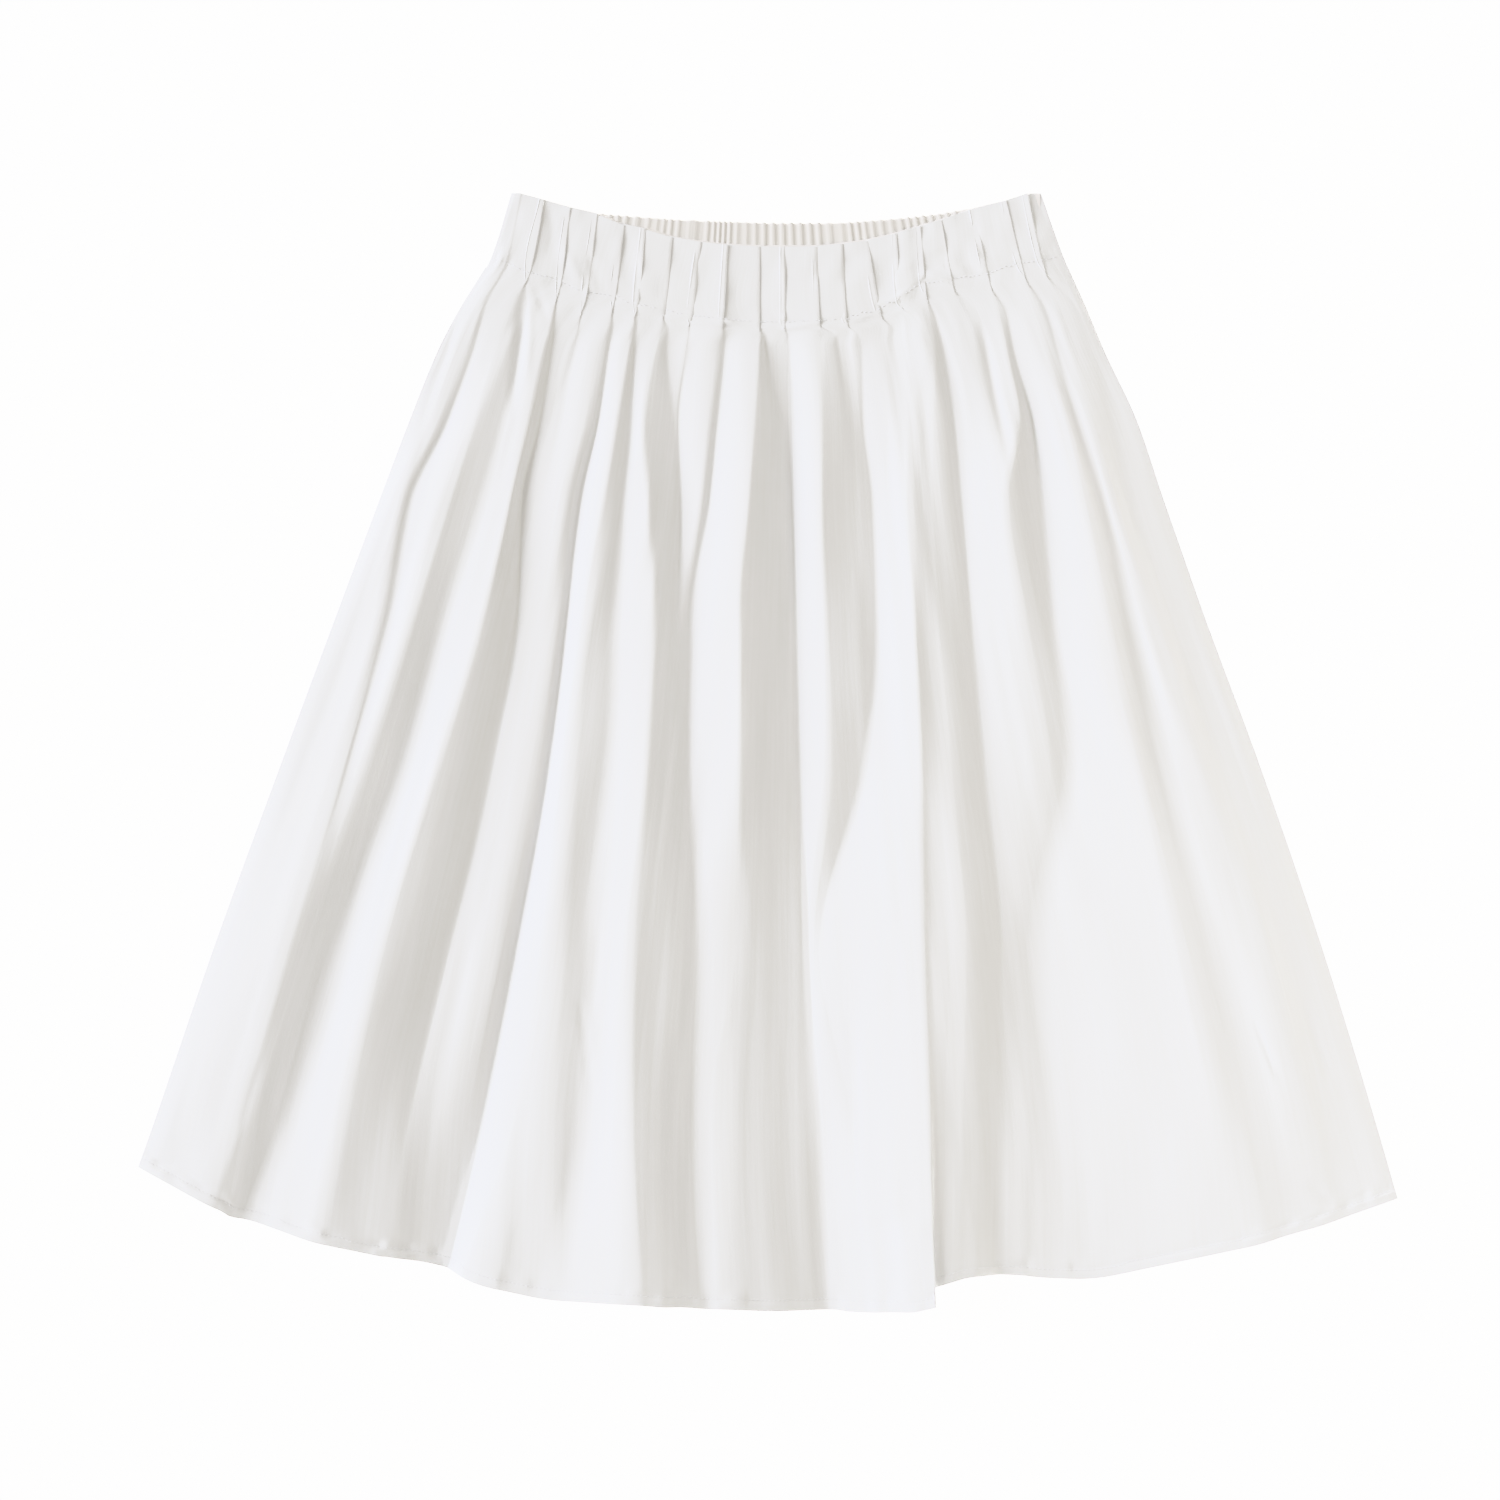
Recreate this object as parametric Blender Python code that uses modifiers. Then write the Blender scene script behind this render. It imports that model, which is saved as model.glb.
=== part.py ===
"""Pleated skirt laid flat: pleated front over a plain back with a gathered waistband.

Metres, +Z up. X runs across the skirt, +Y towards the waist, and the back rests on Z = 0.
The tables are in millimetres: X from the middle line, heights from the hem's lowest point.
"""
import bpy
import numpy as np

MM = 0.001
LENGTH = 745.0            # lowest point of the hem to the ends of the waist
FRONT_WALL = 1.1          # pleated cloth
HEM_WALL = 1.7            # the same cloth where the hem is turned up and stitched
HEM_STRIP = 6.0           # depth of the turned hem
BACK_WALL = 1.0
SEAM_GAP = 0.3            # between pieces that are sewn or lie on each other

LAYER_RADIUS = 0.65       # half the step from layer to layer in a closed pleat
CLOSING_RUN = 2.0         # a ridge this far past its valley is a fully closed pleat
CLOSED_DEPTH = 10.0       # cloth hidden under a pressed pleat
FIRST_STEP = 1.5          # the pleat beside the left seam only steps down by this run
STACK_RISE = 3.2          # ridge over its own valley as soon as the pleat closes
STACK_SLOPE = 0.10        # and more for each millimetre that it overlaps
STACK_RUN = 1.5           # a ridge this far short of its valley is free of that rise
SHINGLE_RISE = 2.7        # valley over the next pleat's hidden valley where they meet
SHINGLE_RUN = 14.0        # and none where they are this far apart
CREASE_ROUNDING = 2.0     # run of an open crease on each side of its line
HAIRPIN_ROUNDING = 0.5    # the same where the pleat is closed
SIDE_ROLL_RUN = 9.0       # the cloth rolls over this far inside the side seams
SIDE_ROLL_RISE = 3.0
SIDE_ROLL_SHARE = 0.45    # and over no more than this share of the first panel
ROUNDING_SHARE = 0.35     # a crease rounds off no more than this share of its panel
ROLL_LEVELS = (641, 541)  # the roll grows from the first height down to the second

BAND_DROP = 46.0          # height of the elastic waistband at the back
BAND_WALL = 2.0           # its casing, flat below and gathered above
BAND_INSET = 1.0          # its ends stop this far inside the side seams
GATHERS = 60
GATHER_DEPTH = 0.8
GATHER_POINTS = 4         # points of the mesh in one gather
FACING_PROUD = 1.4        # the facing shows this much above the front's top edge
FACING_DEPTH = 10.0
FACING_WALL = 1.0
BACK_COLUMNS = 33         # points of the back panel's mesh across and down
BACK_ROWS = 12

# Levels of the fold tables: nominal height of each line across the front
LEVELS = (727, 681, 641, 594, 541, 461, 367, 241, 127, 10)
RELIEF_LEVELS = (727, 681, 641, 541, 407, 241, 10)
ROWS_BETWEEN = (2, 2, 3, 3, 2, 2, 2, 2, 2)     # steps of the mesh from level to level

SIDE_LINES = (            # side seams at the ten levels
    (-171, -185, -220, -239, -259, -289, -324, -370, -409, -420),
    (182, 197, 224, 246, 264, 292, 327, 370, 405, 420),
)
SIDE_HEIGHTS = (          # top end, band stitching, hem end
    (745, 701, 96),
    (745, 703, 75),
)

# Ridge of each pleat, one row per pleat from the left.
# waist  band  yoke   hip                          shin   hem
RIDGE_X = (
    (-165, -175, -197, -215, -243, -264, -281, -312, -347, -369),
    (-148, -158, -181, -196, -213, -239, -261, -292, -333, -352),
    (-131, -137, -147, -159, -171, -189, -217, -256, -285, -305),
    (-113, -120, -132, -144, -163, -168, -185, -214, -240, -256),
    (-95, -101, -107, -117, -137, -143, -159, -186, -212, -227),
    (-81, -86, -92, -99, -109, -120, -139, -159, -184, -194),
    (-63, -68, -75, -83, -79, -75, -80, -90, -92, -85),
    (-44, -50, -55, -61, -60, -66, -69, -75, -72, -69),
    (-26, -29, -31, -38, -45, -57, -56, -49, -47, -52),
    (-5, -5, -5, -9, -13, -19, -19, -14, -29, -37),
    (12, 12, 12, 14, 16, 19, 21, 26, 33, 38),
    (33, 35, 36, 36, 37, 37, 39, 36, 48, 58),
    (50, 53, 56, 63, 69, 73, 64, 55, 65, 75),
    (67, 75, 80, 77, 80, 83, 81, 77, 83, 91),
    (86, 89, 93, 93, 91, 96, 101, 101, 105, 113),
    (102, 105, 111, 120, 125, 134, 141, 153, 145, 129),
    (116, 123, 131, 135, 138, 138, 151, 160, 168, 171),
    (138, 147, 159, 161, 155, 166, 181, 179, 179, 187),
    (159, 169, 185, 197, 209, 224, 244, 275, 311, 329),
    (173, 183, 200, 214, 227, 255, 288, 332, 355, 368),
)

# Valley on the right of each ridge, from the yoke down. Left of its ridge: still closed.
# yoke   hip                                 shin   hem
VALLEY_X = (
    (-199, -217, -246, -259, -271, -300, -340, -360),
    (-186, -189, -201, -218, -241, -283, -320, -348),
    (-150, -152, -166, -173, -190, -219, -245, -261),
    (-142, -147, -159, -164, -181, -210, -235, -250),
    (-117, -125, -125, -134, -145, -165, -187, -197),
    (-102, -97, -94, -101, -107, -112, -119, -149),
    (-78, -66, -64, -70, -74, -82, -80, -76),
    (-65, -57, -56, -61, -62, -66, -62, -61),
    (-29, -36, -40, -51, -51, -41, -39, -45),
    (-3, 10, 12, 15, 17, 22, 28, 32),
    (2, 13, 18, 21, 23, 28, 35, 45),
    (40, 59, 65, 69, 56, 45, 56, 67),
    (59, 66, 73, 77, 68, 59, 69, 79),
    (70, 81, 84, 87, 87, 86, 90, 97),
    (83, 96, 97, 100, 105, 106, 109, 108),
    (113, 123, 128, 137, 144, 157, 157, 156),
    (121, 128, 141, 143, 157, 164, 173, 177),
    (164, 175, 182, 191, 205, 188, 197, 224),
    (175, 201, 223, 243, 269, 303, 329, 345),
    (216, 228, 240, 273, 309, 353, 378, 388),
)

# Heights of ridge and valley above the cloth's resting level, then of their ends at the hem,
# and of the pleat's ends at the top edge and at the band stitching.
#      ridge: thigh knee  calf  hem   valley: thigh knee calf  hem   hem line  top  band
FOLD_HEIGHTS = (
    (3.0, 3.0, 6.0, 3.5, 1.2, 2.5, 4.5, 2.8, 71, 67, 745, 699),
    (7.5, 6.0, 5.0, 3.0, 4.0, 0.5, 0.6, 0.8, 63, 61, 740, 691),
    (9.5, 9.0, 8.0, 6.0, 1.8, 1.4, 1.2, 1.2, 47, 37, 735, 686),
    (1.4, 0.9, 0.7, 0.7, 0.2, 0.1, 0.1, 0.3, 37, 36, 731, 677),
    (6.5, 6.5, 6.5, 5.5, 3.0, 2.0, 0.8, 0.3, 33, 29, 723, 676),
    (8.5, 7.0, 5.5, 7.5, 4.5, 5.0, 8.0, 9.0, 20, 9, 721, 670),
    (9.0, 10.0, 12.0, 13.0, 2.4, 7.0, 9.6, 12.0, 7, 6, 715, 667),
    (1.6, 5.5, 8.8, 11.3, 0.6, 4.2, 6.8, 10.2, 5, 5, 712, 663),
    (5.0, 1.2, 3.0, 8.5, 3.2, 0.4, 1.5, 7.2, 4, 3, 710, 661),
    (10.0, 11.0, 6.5, 7.0, 1.9, 1.9, 1.7, 0.9, 3, 1, 709, 659),
    (1.1, 1.1, 1.0, 0.9, 0.2, 0.1, 0.1, 1.6, 1, 1, 709, 659),
    (8.0, 8.0, 5.0, 4.5, 2.4, 3.4, 6.2, 5.6, 1, 0, 709, 660),
    (1.9, 2.4, 7.4, 6.3, 0.8, 1.4, 7.6, 6.7, 0, 0, 711, 661),
    (3.5, 5.0, 9.0, 8.0, 4.4, 6.2, 9.8, 8.9, 1, 1, 713, 668),
    (7.5, 9.5, 11.0, 11.5, 7.2, 8.8, 10.2, 0.8, 5, 17, 718, 675),
    (2.0, 1.6, 1.0, 3.5, 0.2, 0.1, 0.0, 0.1, 24, 25, 723, 688),
    (3.5, 1.6, 3.0, 2.2, 3.4, 2.0, 2.7, 2.8, 24, 23, 727, 687),
    (8.0, 7.0, 1.2, 3.8, 1.2, 1.5, 0.4, 0.5, 22, 21, 735, 691),
    (7.5, 8.5, 10.0, 5.5, 4.0, 4.0, 6.0, 5.2, 45, 51, 740, 699),
    (5.5, 6.5, 7.5, 5.0, 2.0, 2.5, 4.5, 4.0, 57, 64, 745, 700),
)

# Level that the front's lowest points keep: over band and facing at the waist, then the back
REST_LEVELS = (727, 681, 641, 594)
REST_HEIGHTS = (4.6, 4.4, 2.4, 1.9)

# Edges of the pieces behind, as X and height
BAND_TOP = ((-171, 742), (-131, 733), (-112, 731), (-58, 727), (0, 725), (48, 725),
            (88, 728), (115, 731), (138, 735), (168, 739), (182, 742))
BACK_HEM = ((-420, 98), (-369, 75), (-305, 51), (-250, 40), (-197, 33), (-150, 26), (-100, 21),
            (-40, 18), (20, 18), (70, 21), (110, 27), (156, 29), (224, 26), (329, 49), (388, 68), (420, 78))


def steady_cubic(knots, values, at):
    """Cubic through the knots with no overshoot: slopes are harmonic means, 0 at a turn."""
    knots = -np.asarray(knots, float)
    values = np.asarray(values, float)
    at = -np.asarray(at, float)
    run = np.diff(knots)[:, None]
    slope = np.diff(values, axis=0) / run
    inner = np.zeros_like(values)
    product = slope[:-1] * slope[1:]
    total = slope[:-1] + slope[1:]
    inner[1:-1] = np.where(product > 0, 2 * product / np.where(total == 0, 1, total), 0)
    inner[0], inner[-1] = slope[0], slope[-1]
    cell = np.clip(np.searchsorted(knots, at) - 1, 0, len(knots) - 2)
    width = run[cell]
    t = (at - knots[cell])[:, None] / width
    return (values[cell] * (1 + 2 * t) * (1 - t) ** 2 + inner[cell] * width * t * (1 - t) ** 2
            + values[cell + 1] * t * t * (3 - 2 * t) + inner[cell + 1] * width * t * t * (t - 1))


def row_levels():
    """Nominal heights of the mesh rows, with every table level among them."""
    rows = [np.linspace(top, bottom, steps, endpoint=False)
            for top, bottom, steps in zip(LEVELS, LEVELS[1:], ROWS_BETWEEN)]
    return np.append(np.concatenate(rows), LEVELS[-1])


def fold_lines(rows):
    """Points of the side seams, ridges and valleys at each row: arrays row x line x 3."""
    heights = np.array(FOLD_HEIGHTS, float)
    ridge_x = np.array(RIDGE_X, float).T
    sides_x = np.array(SIDE_LINES, float).T
    pressed_x = ridge_x[:2] - CLOSED_DEPTH
    pressed_x[:, 0] = ridge_x[:2, 0] + FIRST_STEP
    valley_x = np.vstack([pressed_x, np.array(VALLEY_X, float).T])

    def column_heights(x, hem_heights):
        """Heights at the ten levels: along the top edge, the stitching, level lines, the hem."""
        edge_x = [np.r_[sides_x[level, 0], ridge_x[level], sides_x[level, 1]] for level in (0, 1)]
        ends = np.array(SIDE_HEIGHTS, float)
        top = np.interp(x[0], edge_x[0], np.r_[ends[0, 0], heights[:, 10], ends[1, 0]])
        band = np.interp(x[1], edge_x[1], np.r_[ends[0, 1], heights[:, 11], ends[1, 1]])
        level = np.repeat(np.array(LEVELS[2:-1], float)[:, None], x.shape[1], axis=1)
        return np.vstack([top, band, level, hem_heights])

    closed_valley = LAYER_RADIUS
    closed_ridge = closed_valley + STACK_RISE + STACK_SLOPE * CLOSED_DEPTH
    rest = np.interp(-rows, -np.array(REST_LEVELS, float), REST_HEIGHTS)[:, None]
    groups = []
    for x, relief, closed, hem in (
            (ridge_x, heights[:, 0:4].T, closed_ridge, heights[:, 8]),
            (valley_x, heights[:, 4:8].T, closed_valley, heights[:, 9])):
        pressed = np.full((3, relief.shape[1]), closed)
        z = steady_cubic(RELIEF_LEVELS, np.vstack([pressed, relief]), rows)
        groups.append((steady_cubic(LEVELS, x, rows),
                       steady_cubic(LEVELS, column_heights(x, hem), rows), z))
    (rx, ry, rz), (vx, vy, vz) = groups
    closing = rx - vx
    closure = np.clip(closing / CLOSING_RUN, 0, 1)
    stacked = np.clip(1 + closing / STACK_RUN, 0, 1)
    for pleat in reversed(range(vx.shape[1] - 1)):
        apart = np.clip(1 - (vx[:, pleat + 1] - vx[:, pleat]) / SHINGLE_RUN, 0, 1)
        over = vz[:, pleat + 1] + SHINGLE_RISE * apart * closure[:, pleat + 1]
        vz[:, pleat] = np.maximum(vz[:, pleat], over * stacked[:, pleat + 1])
    rz = np.maximum(rz, vz + stacked * (STACK_RISE + STACK_SLOPE * np.maximum(closing, 0)))
    ridges = np.stack([rx, ry, rz + rest], axis=2)
    valleys = np.stack([vx, vy, vz + rest], axis=2)

    side_y = column_heights(sides_x, np.array(SIDE_HEIGHTS, float)[:, 2])
    sides = np.stack([steady_cubic(LEVELS, sides_x, rows), steady_cubic(LEVELS, side_y, rows),
                      np.repeat(rest, 2, axis=1)], axis=2)
    return sides, ridges, valleys, closure


def front_points():
    """Rows of points across the front: seam, roll, three points for each crease, roll, seam."""
    rows = row_levels()
    sides, ridges, valleys, closure = fold_lines(rows)
    tips = np.stack([ridges, valleys], axis=2).reshape(len(rows), -1, 3)
    closure = np.repeat(closure, 2, axis=1)[:, :, None]

    rolls = []
    for side, neighbour in ((0, tips[:, 0]), (1, tips[:, -1])):
        gap = neighbour - sides[:, side]
        share = np.minimum(SIDE_ROLL_RUN / np.linalg.norm(gap, axis=1), SIDE_ROLL_SHARE)[:, None]
        roll = sides[:, side] + gap * share
        roll[:, 2] += np.interp(-rows, -np.array(ROLL_LEVELS, float), (0, SIDE_ROLL_RISE))
        rolls.append(roll)

    line = np.concatenate([rolls[0][:, None], tips, rolls[1][:, None]], axis=1)
    step = np.diff(line, axis=1)
    run = np.linalg.norm(step, axis=2, keepdims=True)
    rounding = CREASE_ROUNDING + (HAIRPIN_ROUNDING - CREASE_ROUNDING) * closure
    before = tips - step[:, :-1] * np.minimum(rounding / run[:, :-1], ROUNDING_SHARE)
    after = tips + step[:, 1:] * np.minimum(rounding / run[:, 1:], ROUNDING_SHARE)
    before[:, :, 2:] += LAYER_RADIUS * closure
    after[:, :, 2:] -= LAYER_RADIUS * closure
    creases = np.stack([before, tips, after], axis=2).reshape(len(rows), -1, 3)
    points = np.concatenate([sides[:, :1], rolls[0][:, None], creases,
                             rolls[1][:, None], sides[:, 1:]], axis=1)

    hem, above = points[-1], points[-2]
    share = HEM_STRIP / (above[:, 1:2] - hem[:, 1:2])
    strip_top = hem + (above - hem) * share
    return np.concatenate([points[:-1], strip_top[None], hem[None]])


def sheet_object(name, points, wall, offset, thin_rows=0):
    """Grid of points (row x column, millimetres) as a sheet with a wall.

    offset 0 keeps the grid in the wall's middle, -1 under its top and 1 over its bottom.
    The first thin_rows rows have the front's own wall where the given one is the hem's.
    """
    rows, columns = points.shape[:2]
    placed = (points.reshape(-1, 3) - (0.0, LENGTH / 2, 0.0)) * MM
    first = (np.arange(rows - 1)[:, None] * columns + np.arange(columns - 1)).reshape(-1)
    faces = np.stack([first, first + columns, first + columns + 1, first + 1], axis=1)
    mesh = bpy.data.meshes.new(name)
    mesh.from_pydata(placed.tolist(), [], faces.tolist())
    piece = bpy.data.objects.new(name, mesh)
    solidify = piece.modifiers.new("wall", "SOLIDIFY")
    solidify.thickness = wall * MM
    solidify.offset = offset
    if thin_rows:
        group = piece.vertex_groups.new(name="wall share")
        group.add(list(range(thin_rows * columns)), FRONT_WALL / wall, "REPLACE")
        group.add(list(range(thin_rows * columns, rows * columns)), 1.0, "REPLACE")
        solidify.vertex_group = group.name
    return piece


def slab_object(name, lower_points, upper_points):
    """Closed solid between two grids of the same size, the lower one flat on the floor."""
    rows, columns = lower_points.shape[:2]
    placed = np.concatenate([lower_points.reshape(-1, 3), upper_points.reshape(-1, 3)])
    placed = (placed - (0.0, LENGTH / 2, 0.0)) * MM
    count = rows * columns
    first = (np.arange(rows - 1)[:, None] * columns + np.arange(columns - 1)).reshape(-1)
    below = np.stack([first, first + 1, first + columns + 1, first + columns], axis=1)
    above = np.stack([first, first + columns, first + columns + 1, first + 1], axis=1) + count
    ring = np.concatenate([np.arange(columns - 1), np.arange(rows - 1) * columns + columns - 1,
                           count - 1 - np.arange(columns - 1),
                           (rows - 1 - np.arange(rows - 1)) * columns])
    following = np.roll(ring, -1)
    rim = np.stack([ring, ring + count, following + count, following], axis=1)
    mesh = bpy.data.meshes.new(name)
    mesh.from_pydata(placed.tolist(), [], np.concatenate([below, above, rim]).tolist())
    return bpy.data.objects.new(name, mesh)


def side_x(side, height):
    """X of a side seam at a height, read along its line."""
    ends = SIDE_HEIGHTS[side]
    heights = np.array([ends[0], ends[1], *LEVELS[2:-1], ends[2]], float)
    return np.interp(-np.asarray(height, float), -heights, SIDE_LINES[side])


def front_panel():
    points = front_points()
    return sheet_object("front_panel", points, HEM_WALL, 0.0, thin_rows=len(points) - 2)


def front_facing():
    """Strip behind the top edge of the front, a little proud of it."""
    x = np.r_[SIDE_LINES[0][0], [row[0] for row in RIDGE_X], SIDE_LINES[1][0]].astype(float)
    top = np.r_[SIDE_HEIGHTS[0][0], [row[10] for row in FOLD_HEIGHTS], SIDE_HEIGHTS[1][0]]
    inset = np.linspace(BAND_INSET, -BAND_INSET, len(x))
    z = BAND_WALL + GATHER_DEPTH / 2 + SEAM_GAP
    proud = FACING_PROUD * np.sin(np.pi * np.linspace(0, 1, len(x))) ** 0.5 - SEAM_GAP
    rows = [np.stack([x + inset, top + proud - drop, np.full(len(x), z)], axis=1)
            for drop in (0.0, FACING_DEPTH)]
    return sheet_object("front_facing", np.array(rows), FACING_WALL, 1.0)


def back_waistband():
    """Casing of the elastic: flat underneath, its gathers in waves on the upper face."""
    columns = GATHER_POINTS * GATHERS + 1
    across = np.linspace(0, 1, columns)
    band_top = np.array(BAND_TOP, float)
    middle_x = np.interp(across, [0, 1], [SIDE_LINES[0][0], SIDE_LINES[1][0]])
    top = np.interp(middle_x, band_top[:, 0], band_top[:, 1])
    wave = 0.5 * GATHER_DEPTH * np.sin(2 * np.pi * GATHERS * across)
    lower, upper = [], []
    for share in (0.0, 0.5, 1.0):
        height = top - BAND_DROP * share
        left = side_x(0, height[0]) + BAND_INSET
        right = side_x(1, height[-1]) - BAND_INSET
        x = left + (right - left) * across
        lower.append(np.stack([x, height, np.zeros(columns)], axis=1))
        upper.append(np.stack([x, height, BAND_WALL + wave], axis=1))
    return slab_object("back_waistband", np.array(lower), np.array(upper))


def back_panel():
    """Flat panel from the waistband's seam to its own hem, just inside the front's outline."""
    across = np.linspace(0, 1, BACK_COLUMNS)
    band_top = np.array(BAND_TOP, float)
    back_hem = np.array(BACK_HEM, float)
    waist_x = np.interp(across, [0, 1], [SIDE_LINES[0][0], SIDE_LINES[1][0]])
    top = np.interp(waist_x, band_top[:, 0], band_top[:, 1]) - BAND_DROP - SEAM_GAP
    hem_x = np.interp(across, [0, 1], [back_hem[0, 0], back_hem[-1, 0]])
    bottom = np.interp(hem_x, back_hem[:, 0], back_hem[:, 1])
    rows = []
    for share in np.linspace(0, 1, BACK_ROWS):
        height = top + (bottom - top) * share
        left, right = side_x(0, height[0]), side_x(1, height[-1])
        x = left + (right - left) * across
        rows.append(np.stack([x, height, np.zeros(BACK_COLUMNS)], axis=1))
    lower = np.array(rows)
    return slab_object("back_panel", lower, lower + (0.0, 0.0, BACK_WALL))


def cloth_material(name, colour, roughness):
    material = bpy.data.materials.new(name)
    material.use_nodes = True
    shader = material.node_tree.nodes["Principled BSDF"]
    shader.inputs["Base Color"].default_value = (*colour, 1.0)
    shader.inputs["Roughness"].default_value = roughness
    shader.inputs["Metallic"].default_value = 0.0
    return material


def main():
    for item in list(bpy.data.objects):
        bpy.data.objects.remove(item, do_unlink=True)
    collection = bpy.data.collections.new("pleated_skirt")
    bpy.context.scene.collection.children.link(collection)
    pieces = (
        (front_panel(), (0.86, 0.86, 0.88), 0.75),
        (front_facing(), (0.84, 0.84, 0.86), 0.80),
        (back_waistband(), (0.80, 0.77, 0.76), 0.80),
        (back_panel(), (0.82, 0.82, 0.84), 0.80),
    )
    for piece, colour, roughness in pieces:
        piece.data.materials.append(cloth_material(piece.name + " cloth", colour, roughness))
        collection.objects.link(piece)


main()
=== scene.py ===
import bpy
import numpy as np
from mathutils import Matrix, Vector


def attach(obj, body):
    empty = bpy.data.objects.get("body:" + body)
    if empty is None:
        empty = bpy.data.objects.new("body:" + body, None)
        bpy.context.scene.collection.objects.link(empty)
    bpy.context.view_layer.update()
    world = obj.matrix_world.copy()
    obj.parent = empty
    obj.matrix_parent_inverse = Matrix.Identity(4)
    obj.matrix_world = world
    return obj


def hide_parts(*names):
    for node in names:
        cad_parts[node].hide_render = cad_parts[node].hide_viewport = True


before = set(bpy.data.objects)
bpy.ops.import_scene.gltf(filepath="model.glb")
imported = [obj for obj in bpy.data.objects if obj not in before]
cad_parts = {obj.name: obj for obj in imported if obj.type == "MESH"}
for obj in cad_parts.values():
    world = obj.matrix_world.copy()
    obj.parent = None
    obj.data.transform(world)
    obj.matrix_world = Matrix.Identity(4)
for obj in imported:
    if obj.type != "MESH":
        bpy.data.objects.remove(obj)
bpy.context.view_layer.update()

scene = bpy.context.scene
mm = 0.001
hemToMiddle = 372.5  # from the hem's lowest point up to the skirt's middle, the frame's origin

# A pleated skirt laid flat. Tables are in millimetres: x from the middle line, y up the skirt from the
# hem's lowest point, z up from the floor.


def steadyCubic(knots, values, at):
    # Cubic Hermite curves through the knots, whose heights fall, with no overshoot: the slope at a knot is
    # the harmonic mean of the slopes beside it, and 0 where they change sign
    knots = -np.asarray(knots, float)
    values = np.asarray(values, float)
    at = -np.asarray(at, float)
    run = np.diff(knots)[:, None]
    slope = np.diff(values, axis=0) / run
    inner = np.zeros_like(values)
    product = slope[:-1] * slope[1:]
    total = slope[:-1] + slope[1:]
    inner[1:-1] = np.where(product > 0, 2 * product / np.where(total == 0, 1, total), 0)
    inner[0], inner[-1] = slope[0], slope[-1]
    cell = np.clip(np.searchsorted(knots, at) - 1, 0, len(knots) - 2)
    width = run[cell]
    t = (at - knots[cell])[:, None] / width
    return (values[cell] * (1 + 2 * t) * (1 - t) ** 2 + inner[cell] * width * t * (1 - t) ** 2
            + values[cell + 1] * t * t * (3 - 2 * t) + inner[cell + 1] * width * t * t * (t - 1))


def smoothStep(low, high, x):
    # 3 t^2 - 2 t^3, where t goes from 0 at low to 1 at high
    t = np.clip((x - low) / (high - low), 0, 1)
    return t * t * (3 - 2 * t)


def latticeNoise(across, along, seed):
    # Smooth noise from -1 to 1: random values on a square lattice, blended by smoothstep between its points
    size = 97  # the lattice repeats after this many points
    lattice = np.random.default_rng(seed).uniform(-1, 1, (size, size))
    i, j = np.floor(across).astype(int), np.floor(along).astype(int)
    s, t = across - i, along - j
    s, t = s * s * (3 - 2 * s), t * t * (3 - 2 * t)
    i0, i1, j0, j1 = i % size, (i + 1) % size, j % size, (j + 1) % size
    return ((lattice[i0, j0] * (1 - s) + lattice[i1, j0] * s) * (1 - t)
            + (lattice[i0, j1] * (1 - s) + lattice[i1, j1] * s) * t)


def smoothed(values, over):
    # Running mean over so many points, weighted by a Hann window, with the end values held
    kernel = np.hanning(over) / np.hanning(over).sum()
    return np.convolve(np.pad(values, over // 2, mode="edge"), kernel, "valid")


def unit(vectors):
    return vectors / np.maximum(np.linalg.norm(vectors, axis=-1, keepdims=True), 1e-9)


def gridNormals(points):
    # Unit normal at each grid point: cross product of the run down the rows and the run across
    down, across = np.gradient(points, axis=0), np.gradient(points, axis=1)
    return unit(np.cross(down, across))


def gridFaces(rows, columns):
    # One quad for each cell of a grid whose points are numbered row by row
    first = (np.arange(rows - 1)[:, None] * columns + np.arange(columns - 1)).reshape(-1)
    return np.stack([first, first + columns, first + columns + 1, first + 1], axis=1)


def placed(points):
    # From millimetres over the hem's lowest point to metres in the frame
    return ((points.reshape(-1, 3) - (0.0, hemToMiddle, 0.0)) * mm).tolist()


def newPiece(name, mesh, material):
    mesh.shade_smooth()
    mesh.materials.append(material)
    piece = bpy.data.objects.new(name, mesh)
    scene.collection.objects.link(piece)
    return piece


def clothObject(name, points, uv, material, thickness, share=None):
    # A grid of points (row x column) as a sheet. A modifier gives it its thickness, below the grid, and share
    # is each point's share of that thickness.
    rows, columns = points.shape[:2]
    faces = gridFaces(rows, columns)
    mesh = bpy.data.meshes.new(name)
    mesh.from_pydata(placed(points), [], faces.tolist())
    corners = uv.reshape(-1, 2)[faces.reshape(-1)] * mm
    mesh.uv_layers.new(name="clothUV").uv.foreach_set("vector", corners.reshape(-1))
    piece = newPiece(name, mesh, material)
    ends = np.empty(len(mesh.edges) * 2, int)
    mesh.edges.foreach_get("vertices", ends)
    row, column = ends.reshape(-1, 2) // columns, ends.reshape(-1, 2) % columns
    atEnd = (row == 0).all(1) | (row == rows - 1).all(1)
    atSide = (column == 0).all(1) | (column == columns - 1).all(1)
    mesh.attributes.new("sharp_edge", "BOOLEAN", "EDGE").data.foreach_set("value", atEnd | atSide)
    wall = piece.modifiers.new("clothThickness", "SOLIDIFY")
    wall.thickness = thickness * mm
    wall.offset = -1.0
    if share is not None:
        group = piece.vertex_groups.new(name="thicknessShare")
        steps = np.round(share.reshape(-1), 2)
        for step in np.unique(steps):
            group.add(np.flatnonzero(steps == step).tolist(), float(step), "REPLACE")
        wall.vertex_group = group.name
    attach(piece, "root")
    return piece


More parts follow.
